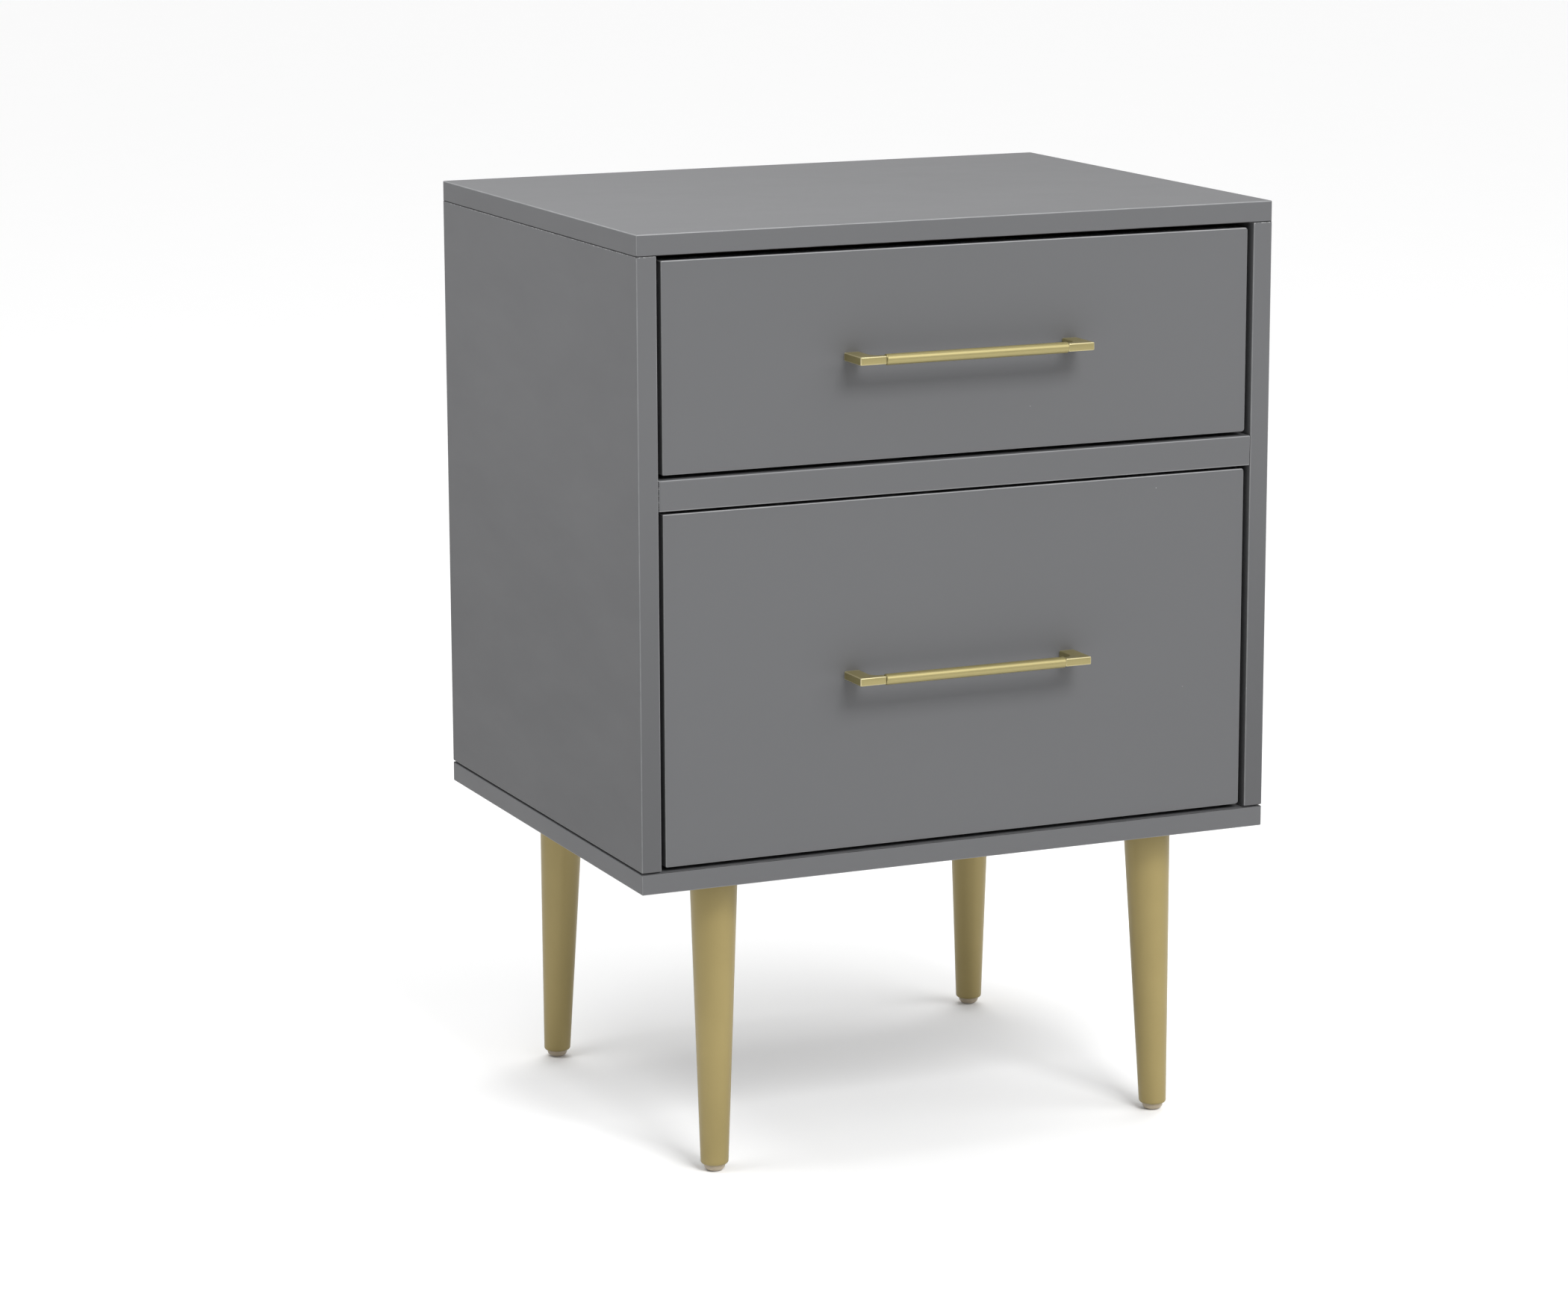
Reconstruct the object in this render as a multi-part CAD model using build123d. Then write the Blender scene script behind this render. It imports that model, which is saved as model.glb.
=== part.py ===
from build123d import *
import os

# A two-drawer nightstand on four turned legs.
# Frame: X to the right, Y to the back, Z up. The origin is on the floor, under the centre of the
# overall footprint, which runs from the front of the pulls to the back edge of the carcass.

# ---------------------------------------------------------------- driving dimensions, millimetres
# Carcass
overall_width = 500.0
carcass_depth = 390.0
overall_height = 690.0
leg_height = 222.0            # floor to the underside of the bottom panel
panel_thickness = 15.0        # top, bottom and sides
panel_edge_round = 0.8        # eased edges of the lacquered panels
seam_edge_round = 0.3         # edges that close a seam between two panels
panel_corner_round = 1.2      # upright corners of the top and bottom panels
seam_relief = 0.2             # hairline left by the lacquer between two panels
foot_rebate_height = 0.8      # shadow gap round the lower end of a side panel
foot_rebate_depth = 3.0

# Middle rail and the vertical gaps round the drawer fronts
rail_height = 22.0
rail_depth = 70.0
rail_soft_round = 1.6         # upper edge and left end of the rail's front face
seam_bead_setback = 0.6       # carcass front to the filler in the seam at the rail's left end
gap_over_upper_front = 4.0
gap_under_upper_front = 3.0
gap_over_lower_front = 2.5
gap_under_lower_front = 3.0
gap_beside_front = 4.0

# Back panel
back_thickness = 3.0
back_groove_depth = 6.0
back_groove_inset = 8.0       # back edge of the carcass to the groove
back_slack = 0.15             # free play of the board in its groove, each side

# Drawer fronts
upper_front_height = 150.0
front_thickness = 15.0
front_recess = 2.0            # the fronts stand this far behind the carcass edges
front_left_corner_round = 1.0
front_right_corner_round = 2.2
front_edge_round = 0.9

# Drawer boxes
box_board = 12.0
box_bottom_thickness = 4.0
box_groove_depth = 5.0
box_groove_rise = 8.0         # underside of the box to its bottom groove
box_housing_depth = 4.0       # how far front and back boards are let into the sides
box_slack = 0.15
box_edge_round = 0.8
box_rise = 12.0               # underside of a front to the underside of its box
upper_box_drop = 26.0         # top of the front to the top of the box
lower_box_drop = 42.0

# Ball-bearing slides, three members each
slide_width = 12.7
slide_height = 45.0
slide_sheet = 1.2
slide_step = 50.0             # slides are sold in lengths of whole steps
slide_rear_clearance = 10.0   # back panel to the end of the slide, at least
slide_lip = 1.5
slide_front_setback = 1.0     # back face of the front to the cabinet member
upper_slide_rise = 45.0       # underside of the box to the middle of the slide
lower_slide_rise = 75.0
race_gap = 4.0                # between the cabinet and the middle member's flanges
inner_race_gap = 3.8          # between the middle and the drawer member's flanges
ball_play = 0.15
cage_sheet = 0.6
cage_gap = 0.5                # between a cage's web and the webs beside it
balls_per_row = 5
slide_screw_end = 35.0        # end of a member to its first screw

# Bar pulls
pull_length = 184.0
pull_height = 6.0
pull_foot_width = 12.0
pull_reach = 27.5             # drawer front to the front face of a post
pull_bar_depth = 6.0          # the forward arm of a post
pull_arm_length = 20.5        # outer side of a post to the end of the rod
pull_inner_round = 7.0
pull_edge_round = 0.5
rod_diameter = 8.0
rod_chamfer = 0.5
rod_spigot_diameter = 3.6
rod_spigot_length = 7.0

# Legs, their threaded inserts and glides
leg_inset_side = 73.5         # end of the carcass to the middle of a leg's top
leg_inset_front = 44.5        # front or back of the carcass to the middle of a leg's top
leg_splay_side = 4.0          # a foot stands this far outside the top of its leg
leg_splay_front = 8.0
leg_top_diameter = 35.0
leg_foot_diameter = 20.4
leg_foot_round = 2.2
leg_top_round = 0.8
glide_diameter = 15.6
glide_height = 5.0
glide_round = 4.2
insert_diameter = 12.0
insert_length = 12.0          # flange included
insert_flange_diameter = 19.0
insert_flange_thickness = 1.5
hanger_diameter = 8.0
hanger_in_leg = 32.0
hanger_in_insert = 10.0
nail_diameter = 2.2
nail_length = 17.0
nail_rise = 2.5               # floor to the nail's lower end

# Fasteners
fit = 0.05                    # radial room of a dowel, bolt or screw in its hole
hole_end_room = 0.5
dowel_diameter = 8.0
dowel_length = 30.0
dowel_in_face = 9.5           # the part of a dowel that sits in the face of a panel
cam_diameter = 15.0
cam_depth = 12.5
cam_setback = 34.0            # panel edge to the cam's axis
cam_bolt_diameter = 5.0
cam_bolt_in_face = 10.5
cam_bolt_collar_diameter = 7.5
cam_bolt_hole_diameter = 8.0
cam_bolt_head_length = 3.0
cam_bolt_neck_length = 4.0
cam_mouth_room = 0.4
cam_inset = 50.0              # front or back edge of a side panel to its cams
dowel_inset = 95.0
rail_cam_inset = 18.0
rail_dowel_inset = 50.0
rail_cam_setback = 24.0
slide_screw_diameter = 3.5
cabinet_screw_length = 13.0
box_screw_length = 10.0
front_screw_diameter = 4.0
front_screw_length = 22.0
front_screw_inset_side = 60.0
front_screw_inset_edge = 22.0
pull_screw_diameter = 4.0
pull_screw_in_post = 9.0
head_ratio = 1.9              # pan head diameter over screw diameter
head_height_ratio = 0.5

# ---------------------------------------------------------------- sizes worked out from those
pull_front_reach = pull_reach - pull_bar_depth / 2 + rod_diameter / 2
overall_depth = carcass_depth - front_recess + pull_front_reach
y_front = -overall_depth / 2 + pull_front_reach - front_recess
y_back = overall_depth / 2
x_side = overall_width / 2
x_inner = x_side - panel_thickness
z_bottom = leg_height
z_floor = z_bottom + panel_thickness
z_ceiling = overall_height - panel_thickness

upper_front_top = z_ceiling - gap_over_upper_front
upper_front_bottom = upper_front_top - upper_front_height
rail_top = upper_front_bottom - gap_under_upper_front
rail_bottom = rail_top - rail_height
lower_front_top = rail_bottom - gap_over_lower_front
lower_front_bottom = z_floor + gap_under_lower_front
front_half_width = x_inner - gap_beside_front
y_front_face = y_front + front_recess
y_box = y_front_face + front_thickness

back_groove_front = y_back - back_groove_inset - back_thickness - 2 * back_slack
room_for_slide = back_groove_front - slide_rear_clearance - y_box
slide_length = slide_step * (room_for_slide // slide_step)
slide_travel = slide_length
box_half_width = x_inner - slide_width
box_inner_half_width = box_half_width - box_board
cabinet_member_front = y_box + slide_front_setback

leg_x = x_side - leg_inset_side
leg_y = (y_front + leg_inset_front, y_back - leg_inset_front)


# ---------------------------------------------------------------- helpers
def block(x0, x1, y0, y1, z0, z1):
    """A box between two corners, given in any order."""
    low = (min(x0, x1), min(y0, y1), min(z0, z1))
    size = (abs(x1 - x0), abs(y1 - y0), abs(z1 - z0))
    return Pos(*low) * Box(*size, align=(Align.MIN, Align.MIN, Align.MIN))


def rod(start, direction, diameter, length):
    """A round bar from a start point along a direction."""
    plane = Plane(origin=start, z_dir=direction)
    return plane * Cylinder(diameter / 2, length, align=(Align.CENTER, Align.CENTER, Align.MIN))


def ease(solid, radius, axis=None):
    """Rounds every edge of a board, or only those along one axis."""
    edges = solid.edges() if axis is None else solid.edges().filter_by(axis)
    return fillet(edges, radius)


def pan_screw(tip_side, direction, diameter, length):
    """A pan-head screw: tip_side is where its head seats, and direction is the way it is driven."""
    head_diameter = head_ratio * diameter
    head_height = head_height_ratio * diameter
    seat = Vector(*tip_side)
    way = Vector(*direction)
    shank = rod(seat, way, diameter, length)
    head = rod(seat - way * head_height, way, head_diameter, head_height)
    recess_depth = head_height * 0.6
    slot = Box(head_diameter * 0.55, head_diameter * 0.14, 2 * recess_depth)
    top = Plane(origin=seat - way * head_height, z_dir=way)
    return shank + head - top * slot - top * (Rot(0, 0, 90) * slot)


def sunk_screw(seat_point, direction, diameter, length):
    """A countersunk screw whose head ends flush at seat_point."""
    head_radius = head_ratio * diameter / 2
    cone_height = head_radius - diameter / 2
    plane = Plane(origin=seat_point, z_dir=direction)
    bottom_up = (Align.CENTER, Align.CENTER, Align.MIN)
    head = Cone(head_radius, diameter / 2, cone_height, align=bottom_up)
    shank = Cylinder(diameter / 2, length, align=bottom_up)
    slot = Box(head_radius, diameter * 0.25, cone_height)
    return plane * (head + shank - slot - Rot(0, 0, 90) * slot)


def sunk_hole(seat_point, direction, diameter, length):
    """The hole for a countersunk screw, with room all round."""
    head_radius = head_ratio * diameter / 2 + fit
    hole_radius = diameter / 2 + fit
    plane = Plane(origin=seat_point, z_dir=direction)
    bottom_up = (Align.CENTER, Align.CENTER, Align.MIN)
    cone = Cone(head_radius, hole_radius, head_radius - hole_radius, align=bottom_up)
    return plane * (cone + Cylinder(hole_radius, length + hole_end_room, align=bottom_up))


def group(solids):
    """Separate solids that share one node."""
    return Compound(children=list(solids))


# ---------------------------------------------------------------- connectors of the carcass
# Each joint is described by the point where two boards meet, the way into the board that holds the
# cam, and the way the cam's own hole opens.
def side_joints():
    """Where the side panels meet the top and bottom panels: side, point, way into the side panel."""
    for side in (-1, 1):
        x = side * (x_side - panel_thickness / 2)
        for z, way in ((z_ceiling, -1), (z_floor, 1)):
            yield side, x, z, way


side_cam_y = (y_front + cam_inset, y_back - cam_inset)
side_dowel_y = (y_front + dowel_inset, y_back - dowel_inset)
rail_cam_y = y_front + rail_cam_inset
rail_dowel_y = y_front + rail_dowel_inset
rail_z = (rail_top + rail_bottom) / 2

cam_places = []      # (cam axis point in the board's face, way out of the face, joint point, way in)
dowel_places = []    # (joint point, way into the board that holds the long end)
for side, joint_x, joint_z, joint_way in side_joints():
    way = (0, 0, joint_way)
    for cam_y in side_cam_y:
        face = (side * x_inner, cam_y, joint_z + joint_way * cam_setback)
        cam_places.append((face, (-side, 0, 0), (joint_x, cam_y, joint_z), way, cam_setback))
    for dowel_y in side_dowel_y:
        dowel_places.append(((joint_x, dowel_y, joint_z), way))
for side in (-1, 1):
    face = (side * (x_inner - rail_cam_setback), rail_cam_y, rail_bottom)
    joint = (side * x_inner, rail_cam_y, rail_z)
    cam_places.append((face, (0, 0, -1), joint, (-side, 0, 0), rail_cam_setback))
    dowel_places.append(((side * x_inner, rail_dowel_y, rail_z), (-side, 0, 0)))


def cam_hole(face, out):
    return rod(face, -Vector(*out), cam_diameter + 2 * fit, cam_depth + fit)


def cam_lock(face, out, joint, way):
    """A cam: a drum with a mouth for the bolt's head and a cross recess to turn it."""
    drum = rod(face, -Vector(*out), cam_diameter, cam_depth)
    axis_point = Vector(*joint) + Vector(*way) * (Vector(*face) - Vector(*joint)).dot(Vector(*way))
    mouth_diameter = cam_bolt_collar_diameter + 2 * cam_mouth_room
    mouth_start = axis_point - Vector(*way) * cam_diameter
    mouth = rod(mouth_start, way, mouth_diameter, cam_diameter + cam_bolt_head_length)
    cross = Box(cam_diameter * 0.5, cam_diameter * 0.12, cam_depth * 0.4)
    top = Plane(origin=face, z_dir=out)
    return drum - mouth - top * cross - top * (Rot(0, 0, 90) * cross)


def cam_bolt(joint, way, setback):
    """Screwed into the face of one board, with a head that the cam in the other board draws in."""
    start = Vector(*joint)
    way = Vector(*way)
    tail = rod(start - way * cam_bolt_in_face, way, cam_bolt_diameter, cam_bolt_in_face)
    collar_length = setback - cam_bolt_neck_length - cam_bolt_head_length
    shaft = rod(start, way, cam_bolt_diameter, setback)
    collar = rod(start, way, cam_bolt_collar_diameter, collar_length - cam_diameter / 4)
    head_start = start + way * (setback - cam_bolt_head_length)
    head = rod(head_start, way, cam_bolt_collar_diameter, cam_bolt_head_length)
    return tail + shaft + collar + head


def bolt_face_hole(joint, way):
    """The hole that a cam bolt is screwed into."""
    length = cam_bolt_in_face + hole_end_room
    return rod(joint, -Vector(*way), cam_bolt_diameter + 2 * fit, length)


def bolt_edge_hole(joint, way, setback):
    """The hole along which a cam bolt reaches its cam."""
    length = setback + cam_bolt_head_length + hole_end_room
    return rod(joint, way, cam_bolt_hole_diameter, length)


def dowel(joint, way):
    start = Vector(*joint) - Vector(*way) * dowel_in_face
    pin = rod(start, way, dowel_diameter, dowel_length)
    return chamfer(pin.edges(), dowel_diameter * 0.1)


def dowel_hole(joint, way):
    """One hole through the joint, which both boards are bored with."""
    start = Vector(*joint) - Vector(*way) * (dowel_in_face + hole_end_room)
    return rod(start, way, dowel_diameter + 2 * fit, dowel_length + 2 * hole_end_room)


def bored(board):
    """Cuts the holes of every connector that meets a board of the carcass."""
    box = board.bounding_box()
    for face, out, joint, way, setback in cam_places:
        if holds(box, joint, way):
            board = board - cam_hole(face, out) - bolt_edge_hole(joint, way, setback)
        if holds(box, joint, -Vector(*way)):
            board = board - bolt_face_hole(joint, way)
    for joint, way in dowel_places:
        if holds(box, joint, way) or holds(box, joint, -Vector(*way)):
            board = board - dowel_hole(joint, way)
    return board


def holds(box, joint, way):
    """Whether a board's box holds the material just past a joint, on the side that way points to."""
    probe = Vector(*joint) + Vector(*way) * (panel_thickness / 5)
    return all(low < place < high for low, place, high in zip(box.min, probe, box.max))


# ---------------------------------------------------------------- carcass
def back_groove():
    """The space that the back panel needs, cut from the four panels round it."""
    return block(
        -x_inner - back_groove_depth, x_inner + back_groove_depth,
        back_groove_front, back_groove_front + back_thickness + 2 * back_slack,
        z_floor - back_groove_depth, z_ceiling + back_groove_depth,
    )


def flat_panel(z0, z1, lower_round):
    """The top or bottom panel, before boring."""
    board = block(-x_side, x_side, y_front, y_back, z0, z1)
    board = ease(board, panel_corner_round, Axis.Z)
    board = fillet(board.edges().group_by(Axis.Z)[0], lower_round)
    return fillet(board.edges().group_by(Axis.Z)[-1], panel_edge_round)


def leg_places():
    return [(x, y) for y in leg_y for x in (-leg_x, leg_x)]


def foot_place(x, y):
    """The middle of the foot of a leg whose top is at x, y."""
    side = 1 if x > 0 else -1
    end = 1 if y > leg_y[0] else -1
    return x + side * leg_splay_side, y + end * leg_splay_front


def insert_body(x, y, room):
    """A flanged sleeve let into the underside of the bottom panel, larger all round by some room."""
    sleeve = rod((x, y, z_bottom), (0, 0, 1), insert_diameter + 2 * room, insert_length + room)
    flange_diameter = insert_flange_diameter + 2 * room
    return sleeve + rod((x, y, z_bottom), (0, 0, 1), flange_diameter, insert_flange_thickness + room)


def top_panel():
    board = flat_panel(z_ceiling, overall_height, seam_edge_round)
    return bored(board) - back_groove()


def bottom_panel():
    board = flat_panel(z_bottom, z_floor, panel_edge_round)
    board = bored(board) - back_groove()
    for x, y in leg_places():
        board = board - insert_body(x, y, fit)
    return board


def side_panel(side):
    low, high = z_floor + seam_relief, z_ceiling - seam_relief
    shoulder = low + foot_rebate_height
    board = block(side * x_inner, side * x_side, y_front, y_back, shoulder, high)
    board = ease(board, panel_edge_round, Axis.Z)
    board = fillet(board.edges().group_by(Axis.Z)[0], panel_edge_round)
    board = fillet(board.edges().group_by(Axis.Z)[-1], seam_edge_round)
    board = board + block(
        side * x_inner, side * (x_side - foot_rebate_depth),
        y_front + foot_rebate_depth, y_back - foot_rebate_depth,
        low, shoulder + panel_edge_round,
    )
    board = bored(board) - back_groove()
    for name in ("upper", "lower"):
        for point in cabinet_screw_points(name, side):
            board = board - sunk_hole(point, (side, 0, 0), slide_screw_diameter, cabinet_screw_length)
    return board


def back_panel():
    reach = back_groove_depth - 2 * back_slack
    y0 = back_groove_front + back_slack
    return block(
        -x_inner - reach, x_inner + reach, y0, y0 + back_thickness, z_floor - reach, z_ceiling + reach
    )


def middle_rail():
    half = x_inner - seam_relief / 2
    rail = block(-half, half, y_front, y_front + rail_depth, rail_bottom, rail_top)
    front = rail.edges().group_by(Axis.Y)[0]
    rail = fillet([front.sort_by(Axis.Z)[-1], front.sort_by(Axis.X)[0]], rail_soft_round)
    front = rail.edges().group_by(Axis.Y)[0]
    rail = fillet([front.sort_by(Axis.Z)[0], front.sort_by(Axis.X)[-1]], seam_edge_round)
    return bored(rail)


def seam_bead(rail, panel):
    """The filler in the groove between the rounded left end of the rail and the side panel."""
    bead = block(
        -x_inner - panel_edge_round, -x_inner + rail_soft_round,
        y_front + seam_bead_setback, y_front + rail_soft_round,
        rail_bottom + seam_edge_round, rail_top - rail_soft_round,
    )
    pieces = (bead - rail - panel).solids()
    return max(pieces, key=lambda piece: piece.volume)


# ---------------------------------------------------------------- slides
# One slide is drawn for the right side, in its own section: u runs from the cabinet's wall towards
# the drawer, and w is the height from the slide's middle.
outer_flange = slide_height / 2 - slide_sheet
middle_flange = outer_flange - race_gap
middle_flange_inside = middle_flange - slide_sheet
inner_flange = middle_flange_inside - inner_race_gap
outer_cage_u = slide_sheet + cage_gap
middle_web_u = outer_cage_u + cage_sheet + cage_gap
inner_cage_u = middle_web_u + slide_sheet + cage_gap
inner_flange_u = inner_cage_u + cage_sheet + cage_gap
flange_end_u = slide_width - slide_sheet
cage_end_u = flange_end_u - slide_sheet - cage_gap
cage_travel = slide_travel / 4
cage_length = slide_length / 2 - 2 * cage_gap


def slide_middle(name):
    box_bottom = drawer_box(name)[0]
    return box_bottom + (upper_slide_rise if name == "upper" else lower_slide_rise)


def section_bar(name, side, u0, u1, w0, w1, y0, y1):
    """A bar of the slide's section between y0 and y1."""
    middle = slide_middle(name)
    return block(side * (x_inner - u0), side * (x_inner - u1), y0, y1, middle + w0, middle + w1)


def channel(name, side, web, arm, outer, thickness, y0, y1, lip=0.0):
    """A C section: a web from u to u, arms that reach to another u, and lips turned in at their ends."""
    shape = section_bar(name, side, web[0], web[1], -outer, outer, y0, y1)
    for end in (-1, 1):
        w_in = end * (outer - thickness)
        near, far = min(web[0], arm), max(web[1], arm)
        shape = shape + section_bar(name, side, near, far, w_in, end * outer, y0, y1)
        if lip:
            shape = shape + section_bar(name, side, arm, arm - thickness, w_in, w_in - end * lip, y0, y1)
    return shape


def cabinet_member(name, side):
    y0, y1 = cabinet_member_front, y_box + slide_length
    outer = slide_height / 2
    shape = channel(name, side, (0, slide_sheet), flange_end_u, outer, slide_sheet, y0, y1, slide_lip)
    for point in cabinet_screw_points(name, side):
        shape = shape - sunk_hole(point, (side, 0, 0), slide_screw_diameter, cabinet_screw_length)
    return shape


def middle_member(name, side):
    web = (middle_web_u, middle_web_u + slide_sheet)
    y0, y1 = cabinet_member_front, y_box + slide_length
    return channel(name, side, web, flange_end_u, middle_flange, slide_sheet, y0, y1, slide_lip)


def drawer_member(name, side):
    web = (slide_width - slide_sheet, slide_width)
    y0, y1 = y_box, y_box + slide_length
    shape = channel(name, side, web, inner_flange_u, inner_flange, slide_sheet, y0, y1)
    for point in box_screw_points(name, side):
        web_hole = rod(point, (-side, 0, 0), slide_screw_diameter + 2 * fit, slide_sheet)
        shape = shape - web_hole
    return shape


def screw_rows(y0, y1):
    return (y0 + slide_screw_end, (y0 + y1) / 2, y1 - slide_screw_end)


def cabinet_screw_points(name, side):
    """Where the countersunk heads end, on the web's inner face."""
    x = side * (x_inner - slide_sheet)
    rows = screw_rows(cabinet_member_front, y_box + slide_length)
    return [(x, y, slide_middle(name)) for y in rows]


def box_screw_points(name, side):
    """Where the pan heads seat, on the inner face of the drawer member's web."""
    x = side * (box_half_width + slide_sheet)
    return [(x, y, slide_middle(name)) for y in screw_rows(y_box, y_box + slide_length)]


def ball_cages(name, which):
    """Both sides' ball cages: 'outer' between cabinet and middle members, 'inner' within."""
    solids = []
    if which == "outer":
        web_u, row_w, gap = outer_cage_u, middle_flange + race_gap / 2, race_gap
    else:
        web_u, row_w, gap = inner_cage_u, inner_flange + inner_race_gap / 2, inner_race_gap
    y0 = y_box + cage_travel + cage_gap
    y1 = y0 + cage_length
    ball = gap / 2 - ball_play
    ball_u = (web_u + cage_sheet + cage_end_u) / 2
    pitch = cage_length / balls_per_row
    for side in (-1, 1):
        web = (web_u, web_u + cage_sheet)
        strip = channel(name, side, web, cage_end_u, row_w + cage_sheet / 2, cage_sheet, y0, y1)
        for end in (-1, 1):
            for n in range(balls_per_row):
                x = side * (x_inner - ball_u)
                centre = (x, y0 + pitch * (n + 0.5), slide_middle(name) + end * row_w)
                pocket = Pos(*centre) * Cylinder(ball + ball_play, gap)
                strip = strip - pocket
                solids.append(Pos(*centre) * Sphere(ball))
        solids.append(strip)
    return group(solids)


# ---------------------------------------------------------------- drawers
def front_span(name):
    if name == "upper":
        return upper_front_bottom, upper_front_top
    return lower_front_bottom, lower_front_top


def drawer_box(name):
    """Height of a drawer box's underside and top edge."""
    bottom, top = front_span(name)
    drop = upper_box_drop if name == "upper" else lower_box_drop
    return bottom + box_rise, top - drop


def pull_foot_places(name):
    """Centre of each pull foot on the face of a front."""
    bottom, top = front_span(name)
    reach = pull_length / 2 - pull_foot_width / 2
    return [(side * reach, y_front_face, (bottom + top) / 2) for side in (-1, 1)]


def front_screw_points(name):
    """Where the screws that hold the front seat, inside the box."""
    bottom, top = drawer_box(name)
    heights = (bottom + box_groove_rise + front_screw_inset_edge, top - front_screw_inset_edge)
    reach = box_inner_half_width - front_screw_inset_side
    return [(side * reach, y_box + box_board, z) for side in (-1, 1) for z in heights]


def pull_screw_points(name):
    return [(x, y_box + box_board, z) for x, y, z in pull_foot_places(name)]


def drawer_front(name):
    bottom, top = front_span(name)
    board = block(-front_half_width, front_half_width, y_front_face, y_box, bottom, top)
    board = fillet(board.edges().filter_by(Axis.Y).sort_by(Axis.X)[:2], front_left_corner_round)
    board = fillet(board.edges().filter_by(Axis.Y).sort_by(Axis.X)[-2:], front_right_corner_round)
    board = fillet(board.edges().group_by(Axis.Y)[0], front_edge_round)
    for point in pull_screw_points(name):
        board = board - rod(point, (0, -1, 0), pull_screw_diameter + 2 * fit, box_board + front_thickness)
    for point in front_screw_points(name):
        depth = front_screw_length + hole_end_room
        board = board - rod(point, (0, -1, 0), front_screw_diameter + 2 * fit, depth)
    return board


def box_bottom_groove(name):
    z0 = drawer_box(name)[0] + box_groove_rise
    reach = box_inner_half_width + box_groove_depth
    y0 = y_box + box_board - box_groove_depth
    y1 = y_box + slide_length - box_board + box_groove_depth
    return block(-reach, reach, y0, y1, z0 - box_slack, z0 + box_bottom_thickness + box_slack)


def box_side(name, side):
    bottom, top = drawer_box(name)
    inner, outer = side * box_inner_half_width, side * box_half_width
    board = block(inner, outer, y_box, y_box + slide_length, bottom, top)
    board = fillet(board.edges().filter_by(Axis.Y).group_by(Axis.Z)[-1], box_edge_round)
    board = board - box_bottom_groove(name)
    for y0 in (y_box, y_box + slide_length - box_board):
        housing = block(
            side * box_inner_half_width, side * (box_inner_half_width + box_housing_depth),
            y0, y0 + box_board, bottom, top,
        )
        board = board - housing
    for point in box_screw_points(name, side):
        depth = box_screw_length + hole_end_room
        board = board - rod(point, (-side, 0, 0), slide_screw_diameter + 2 * fit, depth)
    return board


def box_end(name, y0):
    """The front or back board of a drawer box, let into the sides."""
    bottom, top = drawer_box(name)
    half = box_inner_half_width + box_housing_depth - box_slack
    board = block(-half, half, y0, y0 + box_board, bottom, top)
    board = fillet(board.edges().filter_by(Axis.X).group_by(Axis.Z)[-1], box_edge_round)
    return board - box_bottom_groove(name)


def box_front(name):
    board = box_end(name, y_box)
    for point in pull_screw_points(name):
        board = board - rod(point, (0, -1, 0), pull_screw_diameter + 2 * fit, box_board)
    for point in front_screw_points(name):
        board = board - rod(point, (0, -1, 0), front_screw_diameter + 2 * fit, box_board)
    return board


def box_back(name):
    return box_end(name, y_box + slide_length - box_board)


def box_bottom(name):
    z0 = drawer_box(name)[0] + box_groove_rise
    reach = box_inner_half_width + box_groove_depth - 2 * box_slack
    y0 = y_box + box_board - box_groove_depth + 2 * box_slack
    y1 = y_box + slide_length - box_board + box_groove_depth - 2 * box_slack
    return block(-reach, reach, y0, y1, z0, z0 + box_bottom_thickness)


# ---------------------------------------------------------------- pulls
def pull_post(name, side):
    """An L in plan: a foot that stands out from the front, and an arm that holds the rod."""
    x, face_y, z = pull_foot_places(name)[0 if side < 0 else 1]
    outer = pull_length / 2
    plan = [
        (outer, 0),
        (outer, pull_reach),
        (outer - pull_arm_length, pull_reach),
        (outer - pull_arm_length, pull_reach - pull_bar_depth),
        (outer - pull_foot_width, pull_reach - pull_bar_depth),
        (outer - pull_foot_width, 0),
    ]
    corners = [(side * px, face_y - py) for px, py in plan]
    outline = Polygon(*corners, align=None)
    inner_corner = Vector(*corners[4], 0)
    inner = [v for v in outline.vertices() if (v.center() - inner_corner).length < pull_edge_round]
    outline = fillet(inner, min(pull_inner_round, pull_arm_length - pull_foot_width - pull_edge_round))
    post = extrude(Pos(0, 0, z - pull_height / 2) * outline, amount=pull_height, dir=(0, 0, 1))
    away = [e for e in post.edges() if e.center().Y < face_y - pull_edge_round]
    post = fillet(away, pull_edge_round)
    screw_room = pull_screw_in_post + hole_end_room
    post = post - rod((x, face_y, z), (0, -1, 0), pull_screw_diameter + 2 * fit, screw_room)
    rod_end = (side * (outer - pull_arm_length), face_y - pull_reach + pull_bar_depth / 2, z)
    spigot_room = rod_spigot_length + hole_end_room
    return post - rod(rod_end, (side, 0, 0), rod_spigot_diameter + 2 * fit, spigot_room)


def pull_rod(name):
    x, face_y, z = pull_foot_places(name)[0]
    half = pull_length / 2 - pull_arm_length
    y = face_y - pull_reach + pull_bar_depth / 2
    grip = chamfer(rod((-half, y, z), (1, 0, 0), rod_diameter, 2 * half).edges(), rod_chamfer)
    spigots = half + rod_spigot_length
    return grip + rod((-spigots, y, z), (1, 0, 0), rod_spigot_diameter, 2 * spigots)


def pull_screws(name):
    length = box_board + front_thickness + pull_screw_in_post
    return group(pan_screw(p, (0, -1, 0), pull_screw_diameter, length) for p in pull_screw_points(name))


def front_screws(name):
    points = front_screw_points(name)
    return group(pan_screw(p, (0, -1, 0), front_screw_diameter, front_screw_length) for p in points)


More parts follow.
